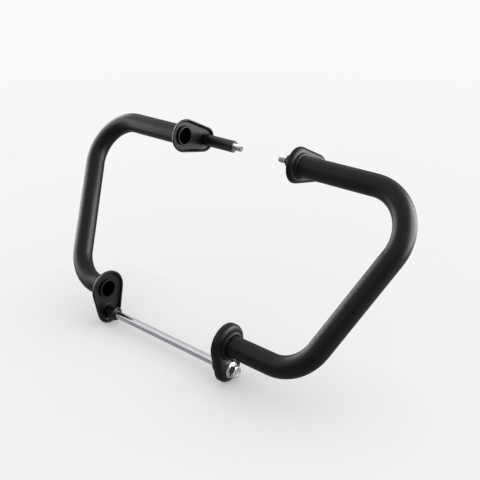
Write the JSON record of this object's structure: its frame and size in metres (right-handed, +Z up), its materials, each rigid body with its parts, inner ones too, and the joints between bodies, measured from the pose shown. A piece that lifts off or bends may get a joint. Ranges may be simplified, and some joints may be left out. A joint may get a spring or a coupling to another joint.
{
  "type": "motorcycle crash bars",
  "caption": "Pair of bent round-tube engine guards with teardrop mounting lugs, spacers and bolts, joined below by a long through bolt.",
  "frame": {"origin": "on the lower bolt's axis, in the motorcycle's centre plane, halfway between the outer bends of the two hoops", "axes": "+X side to side, along the lower bolt and the straight runs, to the right in the picture; +Y to the side that the hoops' tops lean to; +Z up"},
  "size_m": [0.6257, 0.2481, 0.3141],
  "materials": {
    "coat": "satin black powder coat",
    "spacer_coat": "semi-gloss black",
    "zinc_steel": "bright zinc",
    "bright_steel": "polished",
    "nylon": "plain"
  },
  "bodies": {
    "root": {"left_tube": "coat", "right_tube": "coat", "left_upper_lug": "coat", "right_upper_lug": "coat", "left_lower_lug": "coat", "right_lower_lug": "coat", "left_upper_weld": "coat", "right_upper_weld": "coat", "left_lower_weld": "coat", "right_lower_weld": "coat", "left_upper_spacer": "spacer_coat", "right_upper_spacer": "spacer_coat", "left_lower_spacer": "spacer_coat", "right_lower_spacer": "spacer_coat", "left_upper_bolt": "zinc_steel", "right_upper_bolt": "zinc_steel", "lower_bolt": "bright_steel", "lower_washer": "zinc_steel", "lower_nut": "zinc_steel", "lower_nut_ring": "nylon"}
  },
  "joints": []
}
